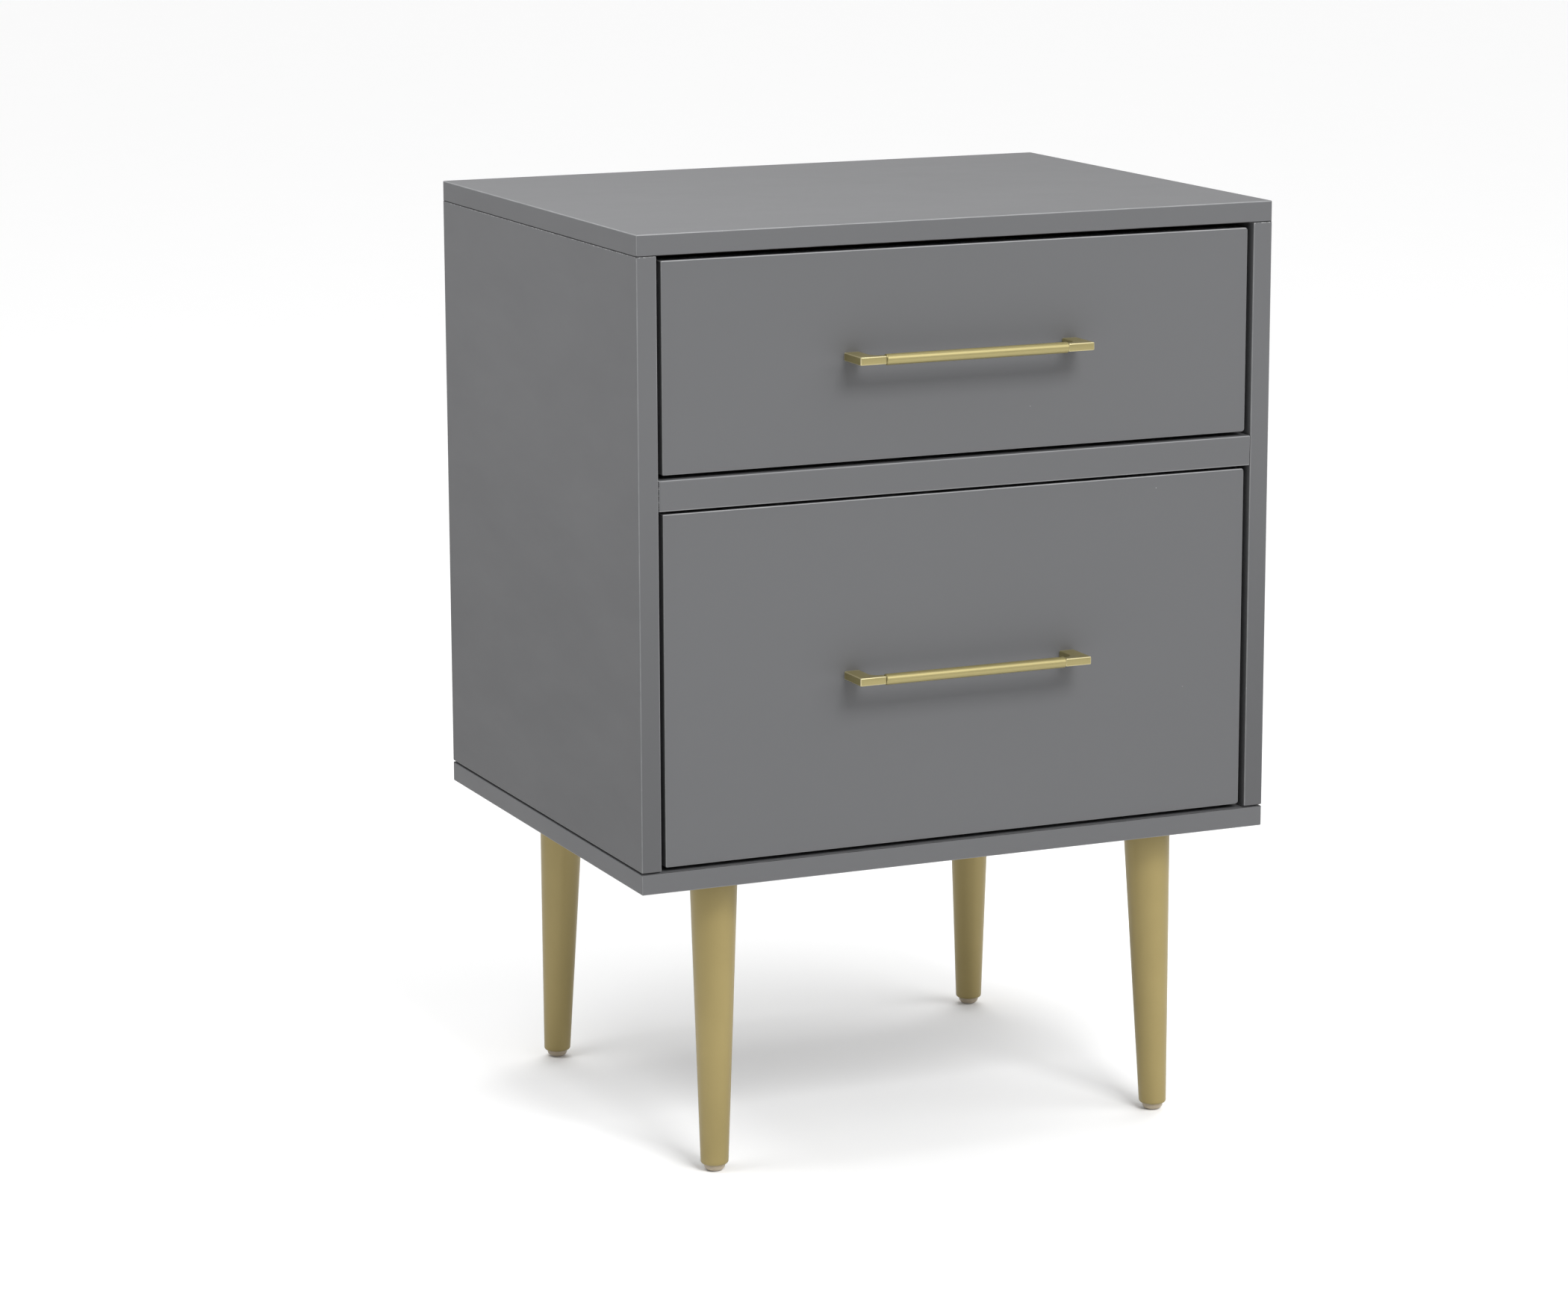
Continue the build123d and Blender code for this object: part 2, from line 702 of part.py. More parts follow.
def box_slide_screws(name):
    return group(
        pan_screw(point, (-side, 0, 0), slide_screw_diameter, box_screw_length)
        for side in (-1, 1)
        for point in box_screw_points(name, side)
    )


def cabinet_slide_screws():
    return group(
        sunk_screw(point, (side, 0, 0), slide_screw_diameter, cabinet_screw_length)
        for name in ("upper", "lower")
        for side in (-1, 1)
        for point in cabinet_screw_points(name, side)
    )


# ---------------------------------------------------------------- legs
def leg(x, y):
    """A straight taper that leans outward, eased at both ends and bored for its bolt and nail."""
    foot_x, foot_y = foot_place(x, y)
    foot = Pos(foot_x, foot_y, glide_height) * Circle(leg_foot_diameter / 2)
    top = Pos(x, y, z_bottom) * Circle(leg_top_diameter / 2)
    taper = loft([foot, top])
    taper = fillet(taper.edges().group_by(Axis.Z)[0], leg_foot_round)
    taper = fillet(taper.edges().group_by(Axis.Z)[-1], leg_top_round)
    bolt_room = hanger_in_leg + hole_end_room
    taper = taper - rod((x, y, z_bottom), (0, 0, -1), hanger_diameter + 2 * fit, bolt_room)
    nail_room = nail_length + nail_rise + hole_end_room - glide_height
    return taper - rod((foot_x, foot_y, glide_height), (0, 0, 1), nail_diameter + 2 * fit, nail_room)


def leg_insert(x, y):
    bore = rod((x, y, z_bottom), (0, 0, 1), hanger_diameter + 2 * fit, insert_length)
    return insert_body(x, y, 0) - bore


def hanger_bolt(x, y):
    """Wood thread in the leg, machine thread in the insert."""
    length = hanger_in_leg + hanger_in_insert
    return rod((x, y, z_bottom - hanger_in_leg), (0, 0, 1), hanger_diameter, length)


def glide(x, y):
    """A domed nylon glide that stands on a small flat."""
    disc = rod((x, y, 0), (0, 0, 1), glide_diameter, glide_height)
    foot = disc.edges().sort_by(Axis.Z)[0]
    disc = fillet(foot, glide_round)
    return disc - rod((x, y, nail_rise), (0, 0, 1), nail_diameter + 2 * fit, glide_height - nail_rise)


def glide_nail(x, y):
    return rod((x, y, nail_rise), (0, 0, 1), nail_diameter, nail_length)


# ---------------------------------------------------------------- every node of the assembly
def build():
    nodes = {
        "top_panel": top_panel(),
        "bottom_panel": bottom_panel(),
        "left_side_panel": side_panel(-1),
        "right_side_panel": side_panel(1),
        "back_panel": back_panel(),
        "middle_rail": middle_rail(),
        "panel_dowels": group(dowel(*place) for place in dowel_places),
        "cam_locks": group(cam_lock(*place[:4]) for place in cam_places),
        "cam_bolts": group(cam_bolt(*place[2:]) for place in cam_places),
        "cabinet_slide_screws": cabinet_slide_screws(),
        "leg_inserts": group(leg_insert(*place) for place in leg_places()),
        "hanger_bolts": group(hanger_bolt(*place) for place in leg_places()),
        "foot_glides": group(glide(*foot_place(*place)) for place in leg_places()),
        "glide_nails": group(glide_nail(*foot_place(*place)) for place in leg_places()),
    }
    nodes["rail_seam_bead"] = seam_bead(nodes["middle_rail"], nodes["left_side_panel"])
    corners = ("front_left", "front_right", "back_left", "back_right")
    for corner, place in zip(corners, leg_places()):
        nodes[f"leg_{corner}"] = leg(*place)
    for name in ("upper", "lower"):
        nodes[f"{name}_drawer_front"] = drawer_front(name)
        nodes[f"{name}_box_front"] = box_front(name)
        nodes[f"{name}_box_back"] = box_back(name)
        nodes[f"{name}_box_bottom"] = box_bottom(name)
        nodes[f"{name}_pull_rod"] = pull_rod(name)
        nodes[f"{name}_pull_screws"] = pull_screws(name)
        nodes[f"{name}_front_screws"] = front_screws(name)
        nodes[f"{name}_box_slide_screws"] = box_slide_screws(name)
        nodes[f"{name}_outer_ball_cages"] = ball_cages(name, "outer")
        nodes[f"{name}_inner_ball_cages"] = ball_cages(name, "inner")
        for side, word in ((-1, "left"), (1, "right")):
            nodes[f"{name}_box_{word}_side"] = box_side(name, side)
            nodes[f"{name}_pull_{word}_post"] = pull_post(name, side)
            nodes[f"{name}_{word}_cabinet_member"] = cabinet_member(name, side)
            nodes[f"{name}_{word}_middle_member"] = middle_member(name, side)
            nodes[f"{name}_{word}_drawer_member"] = drawer_member(name, side)
    return nodes


os.makedirs("parts", exist_ok=True)
assembly = build()
for node_name, shape in assembly.items():
    export_step(shape, f"parts/{node_name}.step")
print(len(assembly), "nodes written, slide length", slide_length, "overall depth", overall_depth)
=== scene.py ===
from math import cos, pi, radians, sin

import bmesh
import bpy
from mathutils import Matrix, Vector, noise


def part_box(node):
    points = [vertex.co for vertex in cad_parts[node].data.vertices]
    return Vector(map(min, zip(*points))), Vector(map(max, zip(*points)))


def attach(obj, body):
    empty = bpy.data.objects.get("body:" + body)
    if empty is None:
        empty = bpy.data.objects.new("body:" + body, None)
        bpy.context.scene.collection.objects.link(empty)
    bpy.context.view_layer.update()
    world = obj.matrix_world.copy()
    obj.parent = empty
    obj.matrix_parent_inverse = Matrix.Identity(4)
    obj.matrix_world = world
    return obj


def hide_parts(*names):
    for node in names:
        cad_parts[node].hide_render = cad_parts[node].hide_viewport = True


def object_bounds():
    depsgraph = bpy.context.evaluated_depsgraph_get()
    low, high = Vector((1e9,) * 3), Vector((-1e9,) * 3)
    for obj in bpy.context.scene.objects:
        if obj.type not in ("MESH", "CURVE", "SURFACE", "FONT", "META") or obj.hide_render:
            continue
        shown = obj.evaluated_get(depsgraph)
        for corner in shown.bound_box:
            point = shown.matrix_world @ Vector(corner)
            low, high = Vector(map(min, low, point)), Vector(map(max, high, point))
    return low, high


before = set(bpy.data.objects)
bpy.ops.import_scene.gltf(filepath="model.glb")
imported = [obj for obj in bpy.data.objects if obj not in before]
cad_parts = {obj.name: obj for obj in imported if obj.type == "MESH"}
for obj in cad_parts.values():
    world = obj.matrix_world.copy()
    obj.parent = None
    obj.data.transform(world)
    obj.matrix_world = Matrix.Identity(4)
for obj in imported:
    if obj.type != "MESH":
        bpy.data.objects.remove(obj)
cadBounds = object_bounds()
mm = 0.001
floorHeight = cadBounds[0][2]
corners = ("front_left", "front_right", "back_left", "back_right")
print("frame loaded,", len(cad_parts), "nodes")


# A wire holds one socket of a material, and arithmetic on wires adds Math nodes.
class Wire:
    def __init__(self, finish, socket):
        self.finish = finish
        self.socket = socket

    def math(self, operation, *others, clamp=False):
        settings = {"operation": operation, "use_clamp": clamp}
        inputs = dict(enumerate((self,) + others))
        return self.finish.node("ShaderNodeMath", settings, inputs)[0]

    def __add__(self, other):
        return self.math("ADD", other)

    def __radd__(self, other):
        return self.math("ADD", other)

    def __sub__(self, other):
        return self.math("SUBTRACT", other)

    def __rsub__(self, other):
        return self.finish.node("ShaderNodeMath", {"operation": "SUBTRACT"}, {0: other, 1: self})[0]

    def __mul__(self, other):
        return self.math("MULTIPLY", other)

    def __rmul__(self, other):
        return self.math("MULTIPLY", other)

    def __truediv__(self, other):
        return self.math("DIVIDE", other)

    def __gt__(self, other):
        return self.math("GREATER_THAN", other)

    def __lt__(self, other):
        return self.math("LESS_THAN", other)

    def least(self, other):
        return self.math("MINIMUM", other)

    def most(self, other):
        return self.math("MAXIMUM", other)

    def between(self, low, high):
        # 0 at low, 1 at high, eased
        settings = {"interpolation_type": "SMOOTHSTEP"}
        return self.finish.node("ShaderNodeMapRange", settings, {0: self, 1: low, 2: high})[0]


class Outputs:
    def __init__(self, finish, node):
        self.finish = finish
        self.node = node

    def __getitem__(self, key):
        return Wire(self.finish, self.node.outputs[key])


# One finish is one material. node() makes any node from its type, settings and sockets.
class Finish:
    def __init__(self, name):
        self.material = bpy.data.materials.new(name)
        self.material.use_nodes = True
        self.tree = self.material.node_tree
        self.tree.nodes.clear()
        self.shader = self.node("ShaderNodeBsdfPrincipled")
        self.node("ShaderNodeOutputMaterial", {}, {"Surface": self.shader["BSDF"]})
        self.coordinates = self.node("ShaderNodeTexCoord")["Object"]

    def node(self, kind, settings=None, sockets=None):
        made = self.tree.nodes.new(kind)
        for key, setting in (settings or {}).items():
            setattr(made, key, setting)
        outputs = Outputs(self, made)
        self.plug(outputs, sockets or {})
        return outputs

    def plug(self, outputs, sockets):
        for key, entry in sockets.items():
            socket = outputs.node.inputs[key]
            if isinstance(entry, Wire):
                self.tree.links.new(entry.socket, socket)
            elif socket.type == "RGBA" and len(entry) == 3:
                socket.default_value = (*entry, 1.0)
            else:
                socket.default_value = entry

    def place(self, scale=(1, 1, 1), turn=(0, 0, 0), shift=(0, 0, 0)):
        sockets = {"Vector": self.coordinates, "Location": shift, "Rotation": turn, "Scale": scale}
        return self.node("ShaderNodeMapping", {}, sockets)["Vector"]

    def axes(self):
        parts = self.node("ShaderNodeSeparateXYZ", {}, {0: self.coordinates})
        return parts["X"], parts["Y"], parts["Z"]

    def noise(self, scale, detail=2.0, roughness=0.5, vector=None, distortion=0.0):
        sockets = {"Vector": vector or self.coordinates, "Scale": scale, "Detail": detail,
                   "Roughness": roughness, "Distortion": distortion}
        return self.node("ShaderNodeTexNoise", {}, sockets)[0]

    def cells(self, scale, vector=None):
        return self.node("ShaderNodeTexVoronoi", {}, {"Vector": vector or self.coordinates, "Scale": scale})

    def specks(self, perMetre, size, share, vector=None):
        # a few small round dots: size is a part of a cell, share is the part of the cells that have one
        cells = self.cells(perMetre, vector)
        chance = self.node("ShaderNodeSeparateColor", {}, {0: cells["Color"]})["Red"]
        return (1 - cells["Distance"].between(0.4 * size, size)) * (chance > 1 - share)

    def mix(self, factor, first, second):
        settings = {"data_type": "RGBA", "clamp_factor": True}
        return self.node("ShaderNodeMix", settings, {"Factor": factor, 6: first, 7: second})[2]

    def bump(self, height, distance, strength=1.0):
        sockets = {"Height": height, "Distance": distance, "Strength": strength}
        return self.node("ShaderNodeBump", {}, sockets)["Normal"]

    def dress(self, **sockets):
        names = {"colour": "Base Color", "roughness": "Roughness", "metallic": "Metallic", "normal": "Normal",
                 "specular": "Specular IOR Level", "subsurface": "Subsurface Weight",
                 "subsurfaceScale": "Subsurface Scale", "subsurfaceRadius": "Subsurface Radius"}
        self.plug(self.shader, {names[key]: entry for key, entry in sockets.items()})
        return self.material


def shaded(colour, share):
    return [share * c for c in colour]


def boxOf(node):
    low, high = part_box(node)
    return Vector(low), Vector(high)


def finishPiece(name, bm, body, material, replaced, sharpAngle=35):
    bmesh.ops.remove_doubles(bm, verts=bm.verts, dist=0.001 * mm)
    bmesh.ops.recalc_face_normals(bm, faces=bm.faces)
    mesh = bpy.data.meshes.new(name)
    bm.to_mesh(mesh)
    bm.free()
    mesh.polygons.foreach_set("use_smooth", [True] * len(mesh.polygons))
    mesh.set_sharp_from_angle(angle=radians(sharpAngle))
    mesh.materials.append(material)
    piece = bpy.data.objects.new(name, mesh)
    bpy.context.scene.collection.objects.link(piece)
    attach(piece, body)
    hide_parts(*replaced)
    return piece


def spun(bm, outline, centre, axis, steps):
    # outline points are (radius, place along the axis); use_merge closes the full turn
    axis = Vector(axis)
    side = Vector((1, 0, 0)) if axis.z > 0.5 else Vector((0, 1, 0))
    verts = [bm.verts.new(Vector(centre) + side * r + axis * h) for r, h in outline]
    edges = [bm.edges.new(pair) for pair in zip(verts, verts[1:])]
    bmesh.ops.spin(bm, geom=verts + edges, cent=centre, axis=axis, dvec=(0, 0, 0), angle=2 * pi,
                   steps=steps, use_merge=True)
    bmesh.ops.remove_doubles(bm, verts=bm.verts, dist=0.001 * mm)


def roundEdges(bm, edges, offset, segments):
    bmesh.ops.bevel(bm, geom=edges, offset=offset, offset_type="OFFSET", segments=segments, profile=0.5,
                    affect="EDGES", material=-1, clamp_overlap=True)


def quarterTurn(steps):
    return [i * pi / 2 / steps for i in range(steps + 1)]


def setMaterial(node, material):
    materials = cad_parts[node].data.materials
    materials.clear()
    materials.append(material)


# Grey lacquer on the carcass and the drawer fronts
lacquer = {
    "grey": (0.0985, 0.0997, 0.1034),
    # the eased-edge colour and the top-edge colour are painted highlights
    "edge": (0.32, 0.325, 0.33),
    "nib": (0.42, 0.42, 0.42),
    "topEdge": (0.42, 0.425, 0.43),
    # painted shade colour for the lines in the seams
    "seam": (0.018, 0.018, 0.019),
    "roughness": 0.5,
    "specular": 0.25,
    "nibsPerMetre": 42.0,
    "nibSize": 0.022,
    "nibShare": 0.12,
    "easedEdge": 0.9 * mm,
    "edgeClear": (0.8 * mm, 1.6 * mm),
    # how much painted highlight goes on the eased edges and on the top edges
    "edgeTint": 0.5,
    "topEdgeTint": 0.9,
    "panelTopEdgeTint": 0.27,
    # painted shade: the side panels get darker towards the bottom
    "lowSideShade": 0.8,
    "lowSideHeight": 0.36,
    # width, waver and depth of the painted shade lines in the seams
    "seamWidth": 0.75 * mm,
    "seamWaver": 0.5 * mm,
    "seamDepth": 0.45 * mm,
    "railEndLine": 0.5 * mm,
    "chipBand": (0.4 * mm, 1.3 * mm),
    "chipsAbove": 0.7,
    "seamChipsAbove": 0.56,
}


def edgeDistance(finish, low, high):
    # how far a point on a board is from the nearest edge of its box
    gaps = [(wire - start).least(end - wire) for wire, start, end in zip(finish.axes(), low, high)]
    a, b, c = gaps
    return a.least(b).most(a.most(b).least(c))


def nearEdge(distance, reach):
    return 1 - distance.between(0.25 * reach, reach)


def seamDistance(finish):
    # height above or below the nearer seam between a side panel and the top or bottom panel
    height = finish.axes()[2]
    seams = boxOf("top_panel")[0].z, boxOf("bottom_panel")[1].z
    upper, lower = [(height - seam).math("ABSOLUTE") for seam in seams]
    return upper.least(lower)


def greyLacquer(node, shift):
    finish = Finish("grey lacquer " + node)
    place = finish.place(shift=shift)
    cloud = finish.noise(3.5, 3, 0.55, place)
    wiped = finish.noise(1.0, 4, 0.6, finish.place(scale=(7, 9, 28), turn=(0.2, 0.3, 0.1), shift=shift))
    peel = finish.noise(420, 2, 0.5, place)
    haze = finish.noise(1500, 1, 0.5, place)
    nibs = finish.specks(lacquer["nibsPerMetre"], lacquer["nibSize"], lacquer["nibShare"], place)
    uneven = finish.noise(60, 3, 0.6, place)
    low, high = boxOf(node)
    x, _, z = finish.axes()
    distance = edgeDistance(finish, low, high)
    seam = seamDistance(finish)
    clear = seam.between(*lacquer["edgeClear"])
    # band along the eased edges: it carries the painted highlight, sets where chips fall and makes the edges
    # a little smoother
    edge = nearEdge(distance, lacquer["easedEdge"]) * clear * (0.3 + 0.9 * uneven)
    crumbs = finish.noise(800, 2, 0.5, place)
    chips = edge * (crumbs > lacquer["chipsAbove"])
    tone = finish.mix((cloud - 0.35) * 1.4, lacquer["grey"], shaded(lacquer["grey"], 1.05))
    if node.endswith("side_panel"):
        nearSeam = (seam > lacquer["chipBand"][0]) * (seam < lacquer["chipBand"][1])
        crumbling = crumbs > lacquer["seamChipsAbove"]
        chips = chips.most((distance < lacquer["easedEdge"]) * nearSeam * crumbling)
        # painted shade: darker grey towards the bottom of each side panel
        rise = z.between(low.z, low.z + lacquer["lowSideHeight"])
        tone = finish.mix(rise, shaded(lacquer["grey"], lacquer["lowSideShade"]), tone)
    # painted shade: a near-black wavering line in the seams with the top and bottom panels, and at the rail's
    # right end
    waver = (finish.noise(90, 3, 0.6, place) - 0.5) * lacquer["seamWaver"]
    seamShadeLine = (seam + waver < 0.5 * lacquer["seamWidth"]) * (distance < lacquer["seamDepth"])
    if node == "middle_rail":
        seamShadeLine = seamShadeLine.most(x + waver > high.x - lacquer["railEndLine"])
    # painted highlights: paler eased edges, and paler again along the top edges
    topHighlightShare = lacquer["panelTopEdgeTint"] if node == "top_panel" else lacquer["topEdgeTint"]
    topEdge = edge * (z > high.z - lacquer["easedEdge"]) * topHighlightShare
    tone = finish.mix(edge * lacquer["edgeTint"], tone, lacquer["edge"])
    tone = finish.mix(topEdge, tone, lacquer["topEdge"])
    tone = finish.mix((nibs * 0.5).most(chips * 0.5), tone, lacquer["nib"])
    # the painted seam shade goes on last, over the nibs and chips
    tone = finish.mix(seamShadeLine, tone, lacquer["seam"])
    rough = lacquer["roughness"] + (wiped - 0.5) * 0.12 + (haze - 0.5) * 0.03 - edge * 0.06
    normal = finish.bump(peel + nibs * 2.5, 0.02 * mm, 0.55)
    return finish.dress(colour=tone, roughness=rough, normal=normal, specular=lacquer["specular"])


greyNodes = ("top_panel", "bottom_panel", "left_side_panel", "right_side_panel", "middle_rail",
             "upper_drawer_front", "lower_drawer_front")
for count, node in enumerate(greyNodes):
    setMaterial(node, greyLacquer(node, (0.37 * count, 0.21 * count, 0.53 * count)))
print("lacquered boards done")


# Rough painted filler in the seam at the left end of the middle rail
filler = {
    "grey": (0.07, 0.071, 0.074),
    # pale goes on the lumps and, as a painted highlight, on the edge by the rail; dark goes in the crumbs
    # and, as painted shade, along the joint with the side panel
    "pale": (0.34, 0.343, 0.345),
    "dark": (0.012, 0.012, 0.013),
    "width": 2.5 * mm,
    "depth": 1.4 * mm,
    "endRoom": 1.0 * mm,
    "rim": 0.35 * mm,
    "behindFront": 0.15 * mm,
    "roughness": 0.45 * mm,
    "grain": 0.8 * mm,
    "crackAt": 0.52,
    "crack": 0.35 * mm,
    "cuts": 9,
    "cutsUp": 90,
}


def fillerLook():
    finish = Finish("painted filler")
    lumps = finish.noise(1400, 3, 0.6)
    crumbs = finish.noise(700, 2, 0.6)
    tone = finish.mix(lumps.between(0.5, 0.62), filler["grey"], filler["pale"])
    tone = finish.mix(1 - crumbs.between(0.36, 0.44), tone, filler["dark"])
    start = boxOf("middle_rail")[0].x
    across = finish.axes()[0] + (crumbs - 0.5) * 0.3 * mm
    # painted shade along the joint with the side panel, painted highlight along the edge by the rail
    tone = finish.mix(across < start + filler["rim"], tone, filler["dark"])
    tone = finish.mix(across > start + filler["width"] - filler["rim"], tone, filler["pale"])
    normal = finish.bump(lumps, 0.15 * mm, 0.9)
    return finish.dress(colour=tone, roughness=0.62 + (lumps - 0.5) * 0.2, normal=normal, specular=0.25)


def makeFiller(material):
    low, high = boxOf("middle_rail")
    face = low.y + filler["behindFront"]
    size = Vector((filler["width"], filler["depth"], high.z - low.z - filler["endRoom"]))
    middle = Vector((low.x + size.x / 2, face + size.y / 2, (low.z + high.z) / 2))
    crackHeight = low.z + filler["crackAt"] * (high.z - low.z)
    bm = bmesh.new()
    cube = bmesh.ops.create_cube(bm, size=1.0)["verts"]
    bmesh.ops.scale(bm, vec=size, verts=cube)
    bmesh.ops.translate(bm, vec=middle, verts=cube)
    for axis, cuts in ((0, filler["cuts"]), (2, filler["cutsUp"])):
        along = [e for e in bm.edges if abs((e.verts[0].co - e.verts[1].co).normalized()[axis]) > 0.9]
        bmesh.ops.subdivide_edges(bm, edges=along, cuts=cuts, use_grid_fill=True)
    for vert in bm.verts:
        if vert.co.y < middle.y:
            lump = 0.5 + 0.5 * noise.noise(vert.co / filler["grain"])
            rim = max(0.0, abs(vert.co.x - middle.x) / size.x - 0.35) / 0.15
            cracked = 1.0 if abs(vert.co.z - crackHeight) < filler["crack"] else 0.0
            vert.co.y += filler["roughness"] * (lump + rim + cracked)
    return finishPiece("rail_filler", bm, "cabinet", material, ("rail_seam_bead",), 60)


makeFiller(fillerLook())
print("rail filler done")


# Gold finishes: satin metallic paint on the legs, brushed plating on the pulls
gold = {
    "leg": (0.285, 0.224, 0.086),
    "legShade": (0.267, 0.209, 0.079),
    "pull": (0.29, 0.248, 0.108),
    # painted highlight colour for the pull edges
    "pullWorn": (0.56, 0.5, 0.3),
    # painted shade bands on the leg's rounded foot and at its top under the cabinet
    "footRing": (0.5 * mm, 3.0 * mm),
    "collar": (22.0 * mm, 4.0 * mm),
    "wornEdge": 0.9 * mm,
}


def legGold(node):
    finish = Finish("satin gold " + node)
    cloud = finish.noise(14, 2, 0.5)
    mottle = finish.noise(130, 3, 0.55)
    flake = finish.noise(2600, 1, 0.5)
    turned = finish.noise(1.0, 2, 0.5, finish.place(scale=(20, 20, 700)))
    pit = finish.specks(240, 0.1, 0.02)
    tone = finish.mix(cloud.between(0.35, 0.65), gold["legShade"], gold["leg"])
    tone = finish.mix((mottle - 0.4) * 0.25, tone, shaded(gold["leg"], 1.12))
    tone = finish.mix(pit * 0.4, tone, shaded(gold["leg"], 0.5))
    low, high = boxOf(node)
    height = finish.axes()[2]
    # painted shade: darker bands at the foot and under the cabinet at the top
    footRing = 1 - height.between(*[low.z + rise for rise in gold["footRing"]])
    collar = height.between(*[high.z - drop for drop in gold["collar"]])
    tone = finish.mix(footRing * 0.25 + collar * 0.3, tone, shaded(gold["leg"], 0.6))
    rough = 0.4 + (cloud - 0.5) * 0.06 + (flake - 0.5) * 0.08
    normal = finish.bump(mottle * 0.3 + turned * 0.2 + flake * 0.15, 0.02 * mm, 0.5)
    return finish.dress(colour=tone, roughness=rough, metallic=0.35, normal=normal)


def pullGold(node, along):
    # fine brushing that runs along one axis, and paler, smoother edges: the paler colour there is a painted
    # highlight
    finish = Finish("brushed gold " + node)
    stretch = [1.0 if i == along else 60.0 for i in range(3)]
    brush = finish.noise(60, 3, 0.6, finish.place(scale=stretch))
    grain = finish.noise(1100, 2, 0.5)
    cloud = finish.noise(40, 2, 0.5)
    tone = finish.mix(brush.between(0.3, 0.7), shaded(gold["pull"], 0.93), gold["pull"])
    # painted highlight along the pull edges, which are also a little smoother
    edge = nearEdge(edgeDistance(finish, *boxOf(node)), gold["wornEdge"])
    tone = finish.mix(edge * 0.9, tone, gold["pullWorn"])
    rough = 0.36 + (brush - 0.5) * 0.12 + (cloud - 0.5) * 0.06 - edge * 0.08
    normal = finish.bump(brush + grain * 0.4, 0.01 * mm, 0.5)
    return finish.dress(colour=tone, roughness=rough, metallic=0.55, normal=normal)


# Turned legs
legShape = {"footRadius": 10.2 * mm, "topRadius": 17.5 * mm, "footRound": 2.2 * mm, "topRound": 0.8 * mm,
            "steps": 96}
glideShape = {"radius": 7.8 * mm, "flatRadius": 3.6 * mm, "domeShare": 0.84, "steps": 64}


def legEnds(corner):
    # the middle of a leg's foot, over its glide, and the middle of its top, which stands further in
    glideLow, glideHigh = boxOf("foot_glides")
    low, high = boxOf("leg_" + corner)
    inset, topRadius = glideShape["radius"], legShape["topRadius"]
    left, front = "left" in corner, "front" in corner
    foot = Vector((glideLow.x + inset if left else glideHigh.x - inset,
                   glideLow.y + inset if front else glideHigh.y - inset))
    top = Vector((high.x - topRadius if left else low.x + topRadius,
                  high.y - topRadius if front else low.y + topRadius))
    return foot, top


def makeLeg(corner, material):
    node = "leg_" + corner
    low, high = boxOf(node)
    foot, top = legEnds(corner)
    bm = bmesh.new()
    outline = [(0, low.z), (legShape["footRadius"], low.z), (legShape["topRadius"], high.z), (0, high.z)]
    spun(bm, outline, (foot.x, foot.y, 0), (0, 0, 1), legShape["steps"])
    for height, size, segments in ((low.z, legShape["footRound"], 7), (high.z, legShape["topRound"], 4)):
        rim = [e for e in bm.edges if all(abs(v.co.z - height) < 0.01 * mm for v in e.verts)
               and all((v.co.xy - foot).length > 0.5 * legShape["footRadius"] for v in e.verts)]
        roundEdges(bm, rim, size, segments)
    for vert in bm.verts:
        vert.co.xy += (top - foot) * (vert.co.z - low.z) / (high.z - low.z)
    return finishPiece(node + "_turned", bm, "cabinet", material, (node,))


for corner in corners:
    makeLeg(corner, legGold("leg_" + corner))
print("legs done")


# Domed nylon glides under the legs
nylon = {"deep": (0.31, 0.255, 0.18), "pale": (0.39, 0.335, 0.25), "scuff": (0.5, 0.45, 0.36)}


def milkyNylon():
    finish = Finish("milky nylon")
    cloud = finish.noise(300, 2, 0.5)
    scuffs = finish.noise(1.0, 3, 0.6, finish.place(scale=(1400, 250, 250)))
    tone = finish.mix(cloud, nylon["deep"], nylon["pale"])
    tone = finish.mix(scuffs.between(0.6, 0.75) * 0.4, tone, nylon["scuff"])
    normal = finish.bump(cloud + scuffs, 0.03 * mm, 0.5)
    return finish.dress(colour=tone, roughness=0.34 + (cloud - 0.5) * 0.1, normal=normal,
                        subsurface=0.3, subsurfaceScale=3 * mm, subsurfaceRadius=(1.0, 0.95, 0.85))


def makeGlides(material):
    low, high = boxOf("foot_glides")
    bm = bmesh.new()
    for corner in corners:
        foot = legEnds(corner)[0]
        radius = glideShape["radius"]
        rise = high.z - low.z
        dome = radius - glideShape["flatRadius"]
        arc = [(radius - dome + dome * sin(a), low.z + glideShape["domeShare"] * rise * (1 - cos(a)))
               for a in quarterTurn(8)]
        outline = [(0, low.z)] + arc + [(radius, high.z), (0, high.z)]
        spun(bm, outline, (foot.x, foot.y, 0), (0, 0, 1), glideShape["steps"])
    return finishPiece("domed_glides", bm, "cabinet", material, ("foot_glides",), 50)


makeGlides(milkyNylon())
print("glides done")


# Bar pulls: a round grip between two cast posts
pullShape = {
    "chamfer": 0.5 * mm,
    "footWidth": 12.0 * mm,
    "armDepth": 6.0 * mm,
    "innerRound": 7.0 * mm,
    "edgeRound": 0.9 * mm,
    "steps": 64,
}


def makeRod(name, material):
    low, high = boxOf(name + "_pull_rod")
    start = boxOf(name + "_pull_left_post")[1].x
    end = boxOf(name + "_pull_right_post")[0].x
    radius = (high.z - low.z) / 2
    centre = (low + high) / 2
    chamfer = pullShape["chamfer"]
    outline = [(0, start), (radius - chamfer, start), (radius, start + chamfer), (radius, end - chamfer),
               (radius - chamfer, end), (0, end)]
    bm = bmesh.new()
    spun(bm, outline, (0, centre.y, centre.z), (1, 0, 0), pullShape["steps"])
    replaced = (name + "_pull_rod",)
    return finishPiece(name + "_grip_rod", bm, name + "_drawer", material, replaced, 30)


